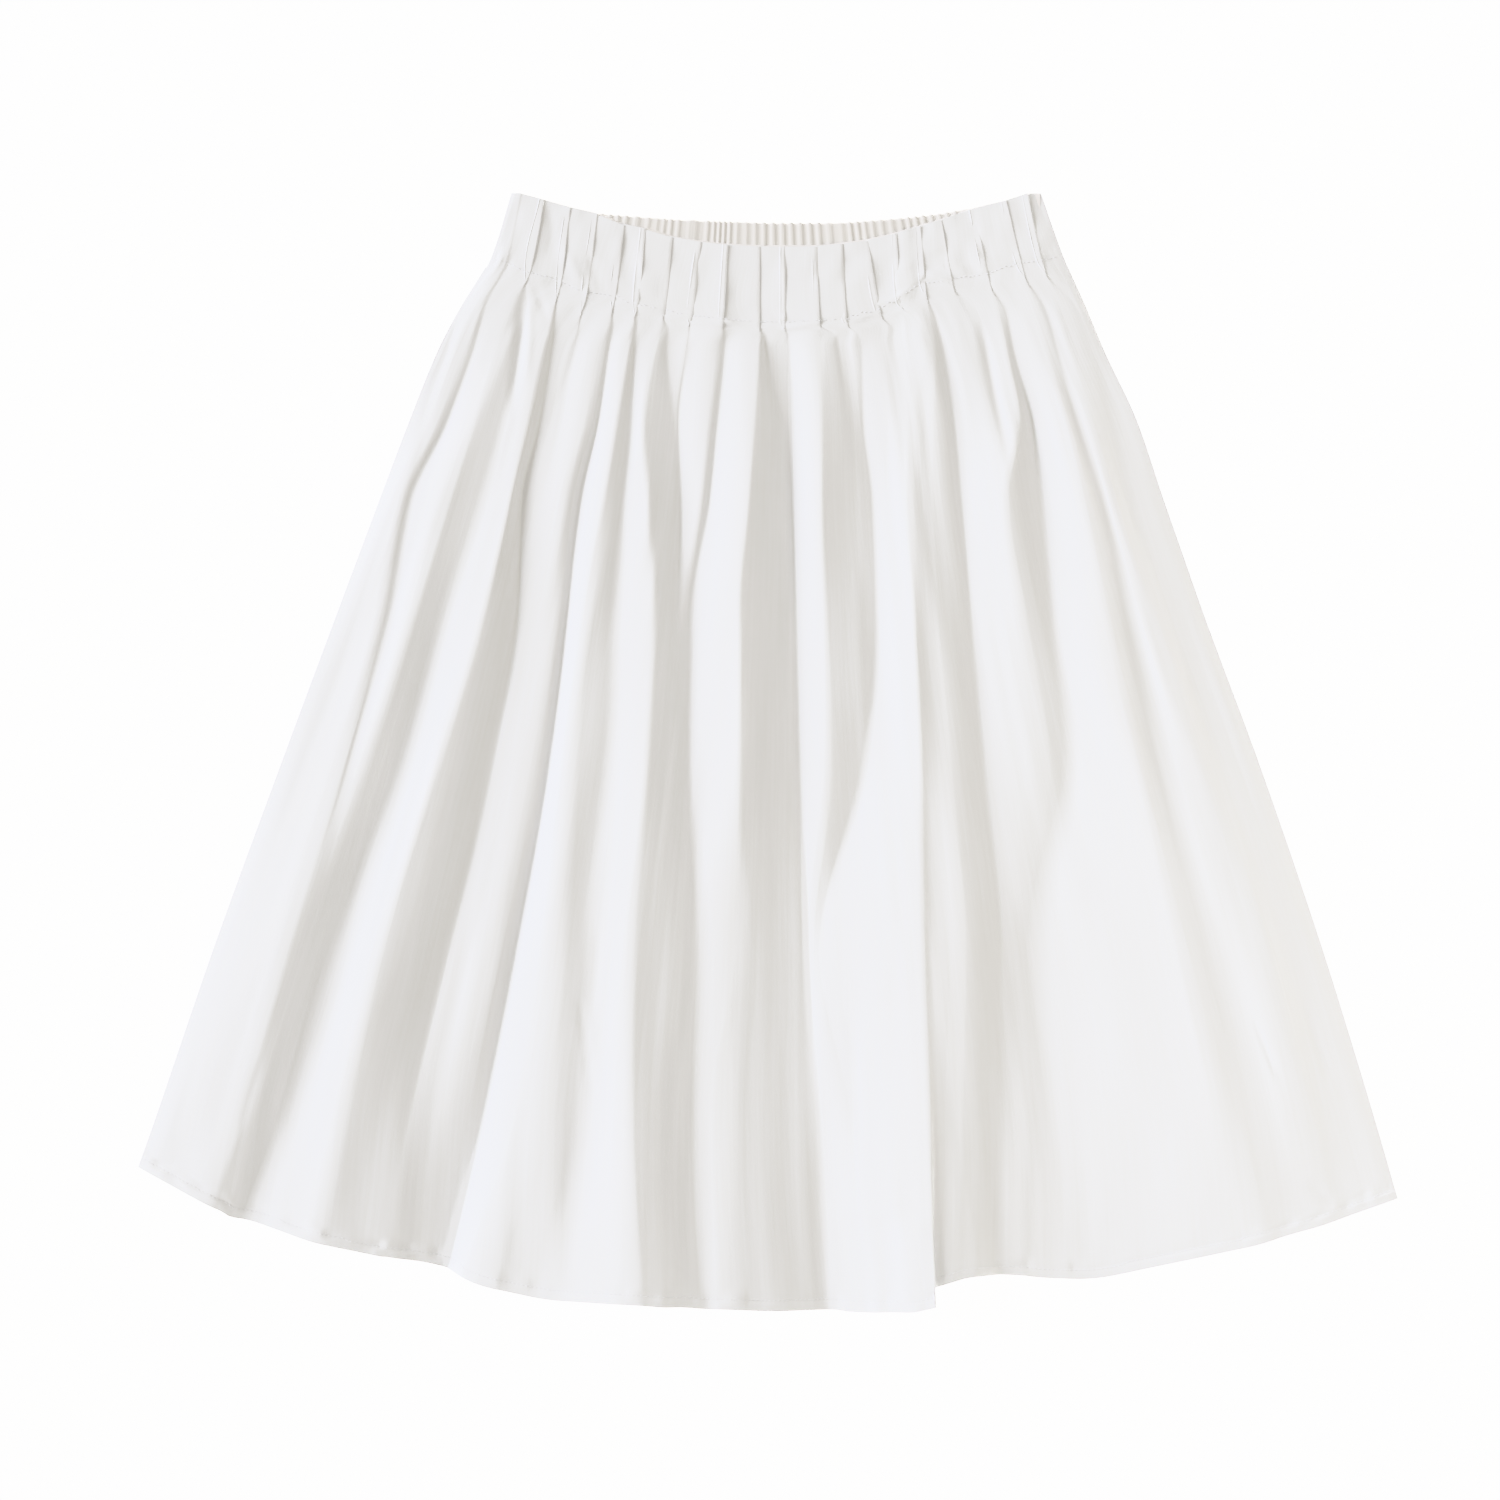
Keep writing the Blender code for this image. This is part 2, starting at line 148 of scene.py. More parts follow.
clothLook = {
    # lengths in metres
    "threadPitch": 0.00040,     # from thread to thread
    "weaveBump": 0.05,
    "weaveDepth": 0.0002,
    "streakWidth": 0.0022,      # crinkle streaks run down the cloth, as a bump and as painted shade in their troughs
    "streakLength": 0.075,
    "streakBump": 0.16,
    "streakDepth": 0.0004,
    "cloudWidth": 0.05,         # wide, faint unevenness of the colour
    "cloudLength": 0.12,
    "streakShare": 0.7,         # of the painted shade and mottle: painted shade in the streaks' troughs
    "cloudShare": 0.3,
    "rampEnds": (0.3, 0.7),     # all the painted shade and mottle colour below the first, all colour above the second
    "specular": 0.35,
    "sheenRoughness": 0.4,
}
cottons = {
    # colour, and the darker colour painted into the crinkle streaks' troughs as shade, mottled by faint
    # clouds
    "frontCotton": {"colour": (0.780, 0.784, 0.803), "paintedShadeAndMottle": (0.75, 0.752, 0.76)},
    "facingCotton": {"colour": (0.82, 0.80, 0.79), "paintedShadeAndMottle": (0.78, 0.76, 0.75)},
    "bandCotton": {"colour": (0.74, 0.722, 0.705), "paintedShadeAndMottle": (0.67, 0.655, 0.635)},
    "backCotton": {"colour": (0.775, 0.775, 0.80), "paintedShadeAndMottle": (0.745, 0.74, 0.755)},
    "sewingThread": {"colour": (0.84, 0.84, 0.86), "paintedShadeAndMottle": (0.78, 0.78, 0.80),
                     "roughness": 0.5, "sheen": 0.0},
}


def cottonMaterial(name, colour, paintedShadeAndMottle, roughness=0.72, sheen=0.12):
    # Poplin: threads both ways as a fine bump, and crinkle streaks down the cloth as a bump, with painted
    # shade in the streaks' troughs and faint random mottle from the clouds in the colour
    material = bpy.data.materials.new(name)
    material.use_nodes = True
    nodes, links = material.node_tree.nodes, material.node_tree.links
    shader = nodes["Principled BSDF"]
    shader.inputs["Roughness"].default_value = roughness
    shader.inputs["Metallic"].default_value = 0.0
    shader.inputs["Specular IOR Level"].default_value = clothLook["specular"]
    shader.inputs["Sheen Weight"].default_value = sheen
    shader.inputs["Sheen Roughness"].default_value = clothLook["sheenRoughness"]
    cloth = nodes.new("ShaderNodeUVMap")
    cloth.uv_map = "clothUV"

    def noise(width, length, detail):
        mapping = nodes.new("ShaderNodeMapping")
        mapping.inputs["Scale"].default_value = (1 / width, 1 / length, 1.0)
        links.new(cloth.outputs["UV"], mapping.inputs["Vector"])
        texture = nodes.new("ShaderNodeTexNoise")
        texture.inputs["Scale"].default_value = 1.0
        texture.inputs["Detail"].default_value = detail
        links.new(mapping.outputs["Vector"], texture.inputs["Vector"])
        return texture.outputs["Fac"]

    def threads(direction):
        # At scale 1 the wave texture repeats every 2 pi / 20
        wave = nodes.new("ShaderNodeTexWave")
        wave.bands_direction = direction
        wave.inputs["Scale"].default_value = 2 * np.pi / 20 / clothLook["threadPitch"]
        links.new(cloth.outputs["UV"], wave.inputs["Vector"])
        return wave.outputs["Fac"]

    def join(operation, a, b):
        node = nodes.new("ShaderNodeMath")
        node.operation = operation
        for socket, value in zip(node.inputs, (a, b)):
            if isinstance(value, (int, float)):
                socket.default_value = value
            else:
                links.new(value, socket)
        return node.outputs["Value"]

    def bump(strength, distance, height):
        node = nodes.new("ShaderNodeBump")
        node.inputs["Strength"].default_value = strength
        node.inputs["Distance"].default_value = distance
        links.new(height, node.inputs["Height"])
        return node

    streaks = noise(clothLook["streakWidth"], clothLook["streakLength"], 3.0)
    clouds = noise(clothLook["cloudWidth"], clothLook["cloudLength"], 2.0)
    paintedShadeAndMottleMix = join("ADD", join("MULTIPLY", streaks, clothLook["streakShare"]),
                  join("MULTIPLY", clouds, clothLook["cloudShare"]))
    # The ramp paints shade where the streak bump is low, and mottles it with the clouds
    ramp = nodes.new("ShaderNodeValToRGB")
    for stop, position, tone in zip(ramp.color_ramp.elements, clothLook["rampEnds"], (paintedShadeAndMottle, colour)):
        stop.position = position
        stop.color = (*tone, 1.0)
    links.new(paintedShadeAndMottleMix, ramp.inputs["Fac"])
    links.new(ramp.outputs["Color"], shader.inputs["Base Color"])

    bothWays = join("MULTIPLY", threads("X"), threads("Y"))
    weave = bump(clothLook["weaveBump"], clothLook["weaveDepth"], bothWays)
    slubs = bump(clothLook["streakBump"], clothLook["streakDepth"], streaks)
    links.new(weave.outputs["Normal"], slubs.inputs["Normal"])
    links.new(slubs.outputs["Normal"], shader.inputs["Normal"])
    return material


cotton = {name: cottonMaterial(name, **look) for name, look in cottons.items()}
print("materials made")

front = {
    "thickness": 0.20,
    "hemThickness": 1.0,        # the turned hem is three layers
    "layerRadius": 0.16,        # half the step from layer to layer in a closed pleat
    "closedDepth": 4.5,         # cloth hidden under a pressed pleat
    "closingRun": 2.0,          # a ridge this far past its valley is a fully closed pleat
    "firstStep": 1.5,           # the first pleat is open at the band: its valley is this far past its ridge
    "stackRise": 0.24,          # ridge over its own valley as soon as the pleat closes
    "stackSlope": 0.02,         # and so much more for each millimetre that it closes further
    "stackRun": 1.5,            # the ridge starts to rise this far before the pleat closes
    "shingleRise": 0.55,        # valley over the next pleat's hidden valley where they meet
    "shingleRun": 14.0,         # fading out as they part
    "pressedRounding": 1.2,     # run of a pressed crease on each side of its line
    "hairpinRounding": 0.7,     # the same in a closed pleat
    "seamRounding": 5.0,        # the same on the roll beside a side seam
    "beadRise": 0.20,           # the cloth stands up a little along a pressed fold
    "beadRun": 1.1,
    "roll": 1.2,                # exponent of the roll that a line without a height of its own lies on
    "panel": (1.2, 1.6, 4.0),   # exponent of a soft and of a crisp face, and the rounding between them
    "faceShare": 0.46,          # a soft crease takes up no more than this share of its face
    "yokeShare": 0.25,          # of the fold's height at the thigh already reached at the yoke
    "foldDepth": (1.25, 1.4, 1.5, 1.55),  # the folds are this many times as high as in the table
    "seamRun": 8.0,             # beside a side seam the cloth rolls up over this run
    "seamShare": 0.45,          # or over this share of the way to the next line, where that is less
    "seamHeight": 0.7,          # of the seam's line below the yoke
    "seamLeast": 1.6,           # in the band it is raised by the resting height less this
    "seamBand": 700,            # fully from this level up
    "seamRise": 0.9,            # the roll stands this much over the resting cloth below the thigh
    "creasePoints": 7,
    "faceSteps": (10, 5, 10),   # steps across a face in the left, middle and right part
    "rowSpans": ((727, 681, 30), (681, 641, 16), (641, 60, 146), (60, 10, 30)),  # from, to, rows
    "partAt": (5, 15),          # the parts meet in the valleys of these pleats
    "hemStitchUp": 6.5,
    "hemRaise": 0.25,           # the hem's layers stand up below their stitching
    "hemRaiseRun": 1,
    "hemLayersRun": 0.6,        # the layers end over this distance on each side of their stitching
}

# The heights that the tables state: levels for where the lines run, reliefLevels for how high they stand,
# softLevels for their rounding, restLevels for how high the cloth rests with no fold
levels = (727, 681, 661, 641, 594, 541, 461, 367, 241, 127, 10)
bandLevel, yokeLevel, thighLevel = levels[1], levels[3], levels[5]
reliefLevels = (727, 681, 641, 541, 407, 241, 10)
softLevels = (641, 541, 300, 60)
restLevels, restHeights = (727, 681, 641, 594, 60, 10), (3.5, 3.2, 1.7, 1.2, 1.1, 0.8)

# The left and the right side seam: x at the levels, and y of the top end, the band stitching and the hem end
sideLines = (
    (-171, -185, -204, -220, -239, -259, -289, -324, -370, -409, -420),
    (182, 197, 211, 224, 246, 264, 292, 327, 370, 405, 420),
)
sideHeights = ((745, 701, 96), (745, 703, 75))

# x of each pleat's ridge at the levels, one row per pleat from the left
# waist  band  yoke (2)    hip   thigh (2)     knee  calf  shin  hem
ridgeX = (
    (-165, -175, -191, -200, -218, -243, -259, -282, -322, -352, -372),
    (-148, -158, -172.5, -180, -196, -213, -237, -266, -305, -336, -358),
    (-131, -137, -143.5, -148.5, -159.5, -171.5, -189.5, -218, -259, -284, -302),
    (-113, -120, -126, -131.5, -147, -162, -165, -180, -210, -237, -254),
    (-95, -101, -105.5, -109.5, -118.5, -134, -142, -158, -185, -211, -229),
    (-81, -86, -90.5, -92.5, -100, -108.5, -120.5, -132, -142, -158, -194),
    (-63, -68, -72, -75.5, -83, -79, -75.5, -79.5, -90.5, -92.5, -86),
    (-44, -50, -54, -56, -61.5, -60, -62, -67, -72, -74, -68),
    (-26, -29, -30.5, -32, -38.5, -44.5, -55, -56, -53, -56, -50),
    (-5, -5, -5.5, -6, -9.5, -12.5, -18.7, -18.7, -15, -28.5, -28),
    (12, 12, 11.5, 11.5, 13.2, 14.5, 15.5, 15, 17, 19, 24),
    (33, 35, 35.5, 36.3, 36.3, 36.3, 39, 40.5, 30, 39, 46),
    (50, 53, 54.5, 55, 60, 66, 66, 57, 33, 51, 61),
    (67, 75, 78, 79.5, 84, 83, 82, 81, 77, 77, 83),
    (86, 89, 91, 92.7, 93.3, 91.7, 96.5, 100.7, 102, 106.5, 111.5),
    (102, 105, 106.5, 110.5, 107.5, 106, 109, 117, 126, 123, 133),
    (116, 123, 127.5, 129.5, 134.5, 139, 139, 149, 157, 165, 171),
    (138, 147, 152.5, 158, 166, 157, 167, 180, 163, 178, 189),
    (159, 169, 176.5, 184.5, 196.5, 208.5, 225, 245.5, 275, 305, 327),
    (173, 183, 191.5, 200, 213.5, 228, 253, 284, 328, 354, 368),
)

# x of the valley on the right of each ridge, from the yoke down
# yoke (2)  hip   thigh (2)     knee  calf  shin  hem
valleyX = (
    (-188, -196, -213, -238, -251, -277, -311, -342, -363),
    (-161, -166, -176, -190, -215.5, -240, -283, -319, -345),
    (-142, -144.5, -152, -164, -167.5, -183, -213, -240, -257),
    (-125, -128.5, -143, -159.5, -162, -177, -207, -233, -249),
    (-103.5, -106, -113, -125, -134, -145, -167.5, -190, -214),
    (-87.5, -89.5, -91.5, -96.5, -101, -104, -113, -118, -148),
    (-66.5, -67.5, -63.5, -62, -64, -74, -82, -83, -77),
    (-52, -53, -59.5, -58, -60, -61, -62, -65, -59),
    (-28.7, -29.3, -34, -39.5, -50.5, -51.5, -44, -47, -41),
    (-3, -2, 8, 12, 9, 3, 2, -2, 2),
    (13.5, 14.2, 14.7, 16.3, 18.8, 21.5, 26, 33, 39),
    (45, 47, 55, 62, 60, 50, 31.5, 45, 53),
    (60, 62.5, 63.7, 69.7, 72.7, 65, 34.5, 58, 70),
    (84, 84.5, 88, 87.5, 90, 87, 86, 90, 96),
    (102, 105, 98, 97, 100.5, 105, 106.5, 110, 108),
    (111.5, 116, 123, 128, 135, 143, 154.7, 155.3, 154),
    (140, 146, 152, 144, 145, 155, 160, 170, 177),
    (159, 163, 175, 182, 189.5, 202, 180, 196, 218),
    (184, 192.5, 207, 223, 242, 264, 298, 327, 345),
    (203, 216, 228, 240, 273, 302, 342, 374, 388),
)

# How far ridge and valley stand above the resting cloth at the last four relief levels, then y of the ridge's
# and the valley's end at the hem, and of the pleat at the top edge and at the band stitching.
# A line with no height of its own lies on the roll between its neighbours.
#     ridge: thigh knee calf hem    valley: thigh knee calf hem    hem: ridge valley   top   band
no = np.nan
foldHeights = (
    (3.5, 5.0, 6.5, 5.0, 2.0, 3.5, no, no, 71, 67, 745, 699),
    (7.5, 6.5, 5.0, no, 4.0, 1.0, 1.5, 1.6, 63, 61, 740, 691),
    (7.0, 9.0, 8.0, 8.0, 1.8, 1.4, 1.2, no, 47, 37, 735, 686),
    (no, no, no, no, no, no, no, no, 37, 36, 731, 677),
    (6.0, 4.5, 4.5, no, 3.0, 2.0, 0.8, 0.3, 33, 29, 723, 676),
    (8.5, 8.0, 9.5, 8.5, 4.5, 5.0, 6.5, 7.5, 19, 9, 721, 670),
    (9.0, 10.5, 12.5, 16.2, no, no, no, no, 7, 6, 715, 667),
    (no, no, no, no, 1.0, no, no, no, 5, 5, 712, 663),
    (5.0, no, no, no, 3.2, 3.0, 4.0, 8.0, 4, 3, 710, 661),
    (10.0, 11.0, 6.5, 9.8, no, no, no, no, 3, 1, 709, 659),
    (no, no, no, no, 0.2, 0.1, 0.1, 0.4, 1, 1, 709, 659),
    (8.0, 7.0, 1.2, no, no, no, no, no, 1, 0, 709, 660),
    (no, no, no, no, 0.8, 1.4, 1.5, no, 0, 0, 711, 661),
    (no, no, no, no, no, no, no, no, 1, 1, 713, 668),
    (7.5, 9.5, 11.0, 12.0, 7.2, 8.8, 10.2, 10.5, 5, 17, 718, 675),
    (6.0, 7.6, 9.0, 8.5, 0.2, 1.5, 3.4, 3.0, 24, 25, 723, 688),
    (no, no, no, no, no, no, no, no, 24, 23, 727, 687),
    (8.0, 5.5, no, no, 1.2, 1.5, 0.1, 0.1, 22, 21, 735, 691),
    (7.5, 8.0, 8.5, 4.5, 4.0, 4.0, 4.5, 3.4, 45, 51, 740, 699),
    (5.5, 6.2, 6.5, 3.2, 2.0, 2.5, 3.2, 2.0, 57, 64, 745, 700),
)

# How far each crease rounds off beside its line, at the last three soft levels
#    ridge: 541, 300, 60  valley: 541, 300, 60
softness = (
    (3, 7, 10, 3, 9, 12),
    (3, 6, 12, 5, 8, 14),
    (1.5, 3, 7, 1.2, 3, 6),
    (1.5, 2, 6, 1.5, 2, 5),
    (5, 10, 12, 1.5, 1.5, 1.5),
    (1.3, 8, 12, 3, 8, 12),
    (2.5, 3, 14, 2, 5, 10),
    (3, 6, 14, 1.5, 5, 10),
    (1.3, 6, 14, 1.5, 6, 12),
    (1.3, 2.5, 16, 3, 8, 14),
    (1.2, 2, 10, 1.2, 1.6, 9),
    (1.2, 4, 14, 5, 8, 14),
    (2, 6, 14, 1.4, 4, 14),
    (6, 10, 14, 6, 10, 14),
    (1.2, 2, 2.5, 2, 2, 1.5),
    (4, 5, 7, 1.5, 2, 4),
    (3, 10, 16, 4, 10, 16),
    (3, 10, 16, 2, 8, 16),
    (2, 3, 9, 5, 6, 14),
    (4, 8, 14, 5, 7, 10),
)


def lineHeights(atTop, atBand, hem):
    # y of a set of lines at every level: top edge, band stitching, halfway to the yoke, the levels, the hem
    between = np.repeat(np.array(levels[3:-1], float)[:, None], len(atTop), axis=1)
    return np.vstack([atTop, atBand, (atBand + between[0]) / 2, between, hem])


def acrossFace(x, height, known):
    # Heights along a row. A line without one of its own lies on the roll between its known neighbours:
    # a rise s of the way across goes as 1 - (1 - s)^roll and a fall as s^roll.
    order = np.flatnonzero(known)
    order = order[np.argsort(x[order])]
    right = np.clip(np.searchsorted(x[order], x), 1, len(order) - 1)
    a, b = order[right - 1], order[right]
    share = np.clip((x - x[a]) / np.maximum(x[b] - x[a], 1e-6), 0, 1)
    share = np.where(height[b] > height[a], 1 - (1 - share) ** front["roll"], share ** front["roll"])
    return np.where(known, height, height[a] + (height[b] - height[a]) * share)


def frontTips(rows):
    # Points of the side seams, ridges and valleys at each row (row x line x 3), how closed each pleat is, and
    # how far each line has a height of its own. x, y and z follow steady cubics down the table's levels.
    # Where a ridge has passed its valley, the pleat is closed and its layers are stacked: each ridge stands
    # stackRise + stackSlope * closing over its valley, and each valley over the next pleat's hidden one.
    heights = np.array(foldHeights, float)
    hemRidgeY, hemValleyY, topY, bandY = heights[:, 8:].T
    ridges = np.array(ridgeX, float).T
    sides = np.array(sideLines, float).T
    pressed = ridges[:2] - front["closedDepth"]
    pressed[:, 0] = ridges[:2, 0] + front["firstStep"]
    valleys = np.vstack([pressed, np.array(valleyX, float).T])
    relief = np.stack([heights[:, 0:4].T, heights[:, 4:8].T], axis=2).reshape(4, -1)
    relief *= np.array(front["foldDepth"])[:, None]
    known = ~np.isnan(relief)
    own = np.vstack([np.ones((3, known.shape[1]), bool), known])
    places = np.stack([ridges, valleys], axis=2).reshape(len(levels), -1)
    for i, at in enumerate(steadyCubic(levels, places, reliefLevels[3:])):
        relief[i] = acrossFace(at, relief[i], known[i])

    def heightsAt(x, hem):
        edges = [np.r_[sides[i, 0], ridges[i], sides[i, 1]] for i in (0, 1)]
        top = np.interp(x[0], edges[0], np.r_[sideHeights[0][0], topY, sideHeights[1][0]])
        band = np.interp(x[1], edges[1], np.r_[sideHeights[0][1], bandY, sideHeights[1][1]])
        return lineHeights(top, band, hem)

    rest = np.interp(-rows, -np.array(restLevels, float), restHeights)[:, None]
    closedValley = front["layerRadius"]
    closedRidge = closedValley + front["stackRise"] + front["stackSlope"] * front["closedDepth"]

    def lines(x, relief, closed, hem):
        # x, y and z of the ridges or the valleys at each row: pressed flat in the band, rising from the yoke
        yoke = closed + front["yokeShare"] * np.maximum(relief[0] - closed, 0)
        flat = np.full((2, relief.shape[1]), closed)
        z = steadyCubic(reliefLevels, np.vstack([flat, yoke, relief]), rows)
        return steadyCubic(levels, x, rows), steadyCubic(levels, heightsAt(x, hem), rows), z

    rx, ry, rz = lines(ridges, relief[:, 0::2], closedRidge, hemRidgeY)
    vx, vy, vz = lines(valleys, relief[:, 1::2], closedValley, hemValleyY)
    at = np.array(reliefLevels, float)
    cell = np.clip(np.searchsorted(-at, -rows) - 1, 0, len(at) - 2)
    blend = smoothStep(0, 1, (at[cell] - rows) / (at[cell] - at[cell + 1]))
    for i, (above, t) in enumerate(zip(cell, blend)):
        # Here a line passes from a height of its own to the roll between its neighbours, or back
        x = np.stack([rx[i], vx[i]], axis=1).reshape(-1)
        z = np.stack([rz[i], vz[i]], axis=1).reshape(-1)
        z = acrossFace(x, z, own[above]) * (1 - t) + acrossFace(x, z, own[above + 1]) * t
        rz[i], vz[i] = z[0::2], z[1::2]
    own = own[cell] * (1 - blend[:, None]) + own[cell + 1] * blend[:, None]
    closing = rx - vx
    closure = np.clip(closing / front["closingRun"], 0, 1)
    stacked = np.clip(1 + closing / front["stackRun"], 0, 1)
    for pleat in reversed(range(vx.shape[1] - 1)):  # each lies on the next
        apart = np.clip(1 - (vx[:, pleat + 1] - vx[:, pleat]) / front["shingleRun"], 0, 1)
        over = vz[:, pleat + 1] + front["shingleRise"] * apart * closure[:, pleat + 1]
        vz[:, pleat] = np.maximum(vz[:, pleat], over * stacked[:, pleat + 1])
    over = vz + front["stackRise"] + front["stackSlope"] * np.maximum(closing, 0)
    rz += stacked * np.maximum(over - rz, 0)
    tips = np.stack([np.stack([rx, ry, rz + rest], axis=2), np.stack([vx, vy, vz + rest], axis=2)], axis=2)
    tips = tips.reshape(len(rows), -1, 3)

    # A side seam lies low, and beside it the cloth rolls up to its resting height
    sideY = heightsAt(sides, np.array(sideHeights, float)[:, 2])
    atBand = (rest - front["seamLeast"]) * smoothStep(yokeLevel, front["seamBand"], rows)[:, None]
    seamZ = np.repeat(front["seamHeight"] + atBand, 2, axis=1)
    seam = np.stack([steadyCubic(levels, sides, rows), steadyCubic(levels, sideY, rows), seamZ], axis=2)
    roll = []
    for side, neighbour in ((0, tips[:, 0]), (1, tips[:, -1])):
        gap = neighbour - seam[:, side]
        share = np.minimum(front["seamRun"] / np.linalg.norm(gap, axis=1), front["seamShare"])[:, None]
        point = seam[:, side] + gap * share
        rise = front["seamRise"] * smoothStep(-yokeLevel, -thighLevel, -rows)
        point[:, 2] = np.maximum(point[:, 2], rest[:, 0]) + rise
        roll.append(point)
    line = np.concatenate([seam[:, :1], roll[0][:, None], tips, roll[1][:, None], seam[:, 1:]], axis=1)
    return line, np.repeat(closure, 2, axis=1), own


def frontRounding(rows):
    # Rounding of every crease at every row: pressed down to the first soft level, then straight from one
    # level to the next
    table = np.array(softness, float).reshape(-1, 2, 3).reshape(-1, 3).T  # level x crease
    pressed = np.full((1, table.shape[1]), front["pressedRounding"])
    knots = np.vstack([pressed, table])
    at = -np.array(softLevels, float)
    return np.stack([np.interp(-rows, at, knots[:, i]) for i in range(knots.shape[1])], axis=1)


def frontGrid():
    # Across each row the cloth stands in rolls, steep beside each valley and flat towards each ridge: on a
    # rise its height goes as 1 - (1 - s)^panel along the face, and on a fall as s^panel. At a line it turns
    # in a quadratic Bezier arc, from a point before the line to one after it, with the line's point as its
    # control. Beside a pressed fold stands a small bead, beadRise * exp(-distance / beadRun).
    spans = [np.linspace(start, end, count, endpoint=False) for start, end, count in front["rowSpans"]]
    rows = np.concatenate(spans + [[levels[-1]]])
    line, closure, own = frontTips(rows)
    rounding = frontRounding(rows) * (1 - closure) + front["hairpinRounding"] * closure
    ends = np.full((len(rows), 1), front["seamRounding"])
    rounding = np.concatenate([ends, rounding, ends], axis=1)
    closure = np.concatenate([ends * 0, closure, ends * 0], axis=1)
    soft, crisp, fade = front["panel"]
    panel = soft + (crisp - soft) * np.exp(-np.maximum(rounding - front["pressedRounding"], 0) / fade)
    panel = 1 + (panel - 1) * (1 - closure)
    panel = np.concatenate([ends * 0 + 1, panel, ends * 0 + 1], axis=1)
    own = np.concatenate([np.zeros((len(rows), 2)), own, np.zeros((len(rows), 2))], axis=1)
    panel[:, :-1] = np.where(np.arange(panel.shape[1] - 1) % 2, panel[:, :-1], panel[:, 1:])
    panel = (1 + (panel[:, :-1] - 1) * own[:, :-1] * own[:, 1:])[:, :, None]
    step = np.diff(line, axis=1)
    run = np.maximum(np.linalg.norm(step, axis=2), 1e-6)

    def onFace(i, share):
        # Points of face i, from line i to line i + 1, at shares of the way (row x point)
        points = line[:, i:i + 1] + step[:, i:i + 1] * share[:, :, None]
        risen = 1 - (1 - share) ** panel[:, i] if i % 2 else share ** panel[:, i]
        points[:, :, 2] = line[:, i, None, 2] + step[:, i, None, 2] * risen
        return points

    tips = line[:, 1:-1]
    into = 1 - np.minimum(rounding / run[:, :-1], front["faceShare"])
    out = np.minimum(rounding / run[:, 1:], front["faceShare"])
    t = np.linspace(0, 1, front["creasePoints"])[None, :, None]
    partAt = [2 * pleat for pleat in front["partAt"]]  # index of that valley among the turned lines
    columns, cuts = [line[:, :1]], []
    start = np.zeros((len(rows), 1))
    for i in range(tips.shape[1] + 1):
        part = sum(i > cut for cut in partAt)
        steps = front["faceSteps"][part]
        share = (0.5 - 0.5 * np.cos(np.pi * np.arange(1, steps) / steps))[None, :]  # closer at both ends
        last = i == tips.shape[1]
        end = np.ones((len(rows), 1)) if last else into[:, i:i + 1]
        face = onFace(i, start + (end - start) * share)
        if last:
            columns += [face, line[:, -1:]]
            break
        before, after = onFace(i, end), onFace(i + 1, out[:, i:i + 1])
        before[:, 0, 2] += front["layerRadius"] * closure[:, i]
        after[:, 0, 2] -= front["layerRadius"] * closure[:, i]
        if i % 2:
            distance = np.linalg.norm(before - face, axis=2)
            face[:, :, 2] += front["beadRise"] * closure[:, i:i + 1] * np.exp(-distance / front["beadRun"])
        columns.append(face)
        if i in partAt:
            cuts.append(sum(c.shape[1] for c in columns) + front["creasePoints"] // 2)
        columns.append(before * (1 - t) ** 2 + 2 * tips[:, i:i + 1] * t * (1 - t) + after * t * t)
        start = out[:, i:i + 1]
    return rows, np.concatenate(columns, axis=1), cuts


rows, frontPoints, frontCuts = frontGrid()
bandRow = int(np.argmin(np.abs(rows - bandLevel)))
upFromHem = frontPoints[:, :, 1] - frontPoints[-1:, :, 1]

# The cloth's own coordinates: its length across each row, evened to the mean row, and its mean length down
widths = np.linalg.norm(np.diff(frontPoints, axis=1), axis=2)
across = np.cumsum(np.hstack([widths[:, :1] * 0, widths]), axis=1)
across *= across[:, -1].mean() / across[:, -1:]
down = np.concatenate([[0], np.cumsum(np.linalg.norm(np.diff(frontPoints, axis=0), axis=2).mean(axis=1))])
frontUv = np.stack(np.broadcast_arrays(across, -down[:, None]), axis=2)
print("front grid", frontPoints.shape)
print("cloth across top and hem, mm", round(float(widths[0].sum())), round(float(widths[-1].sum())))

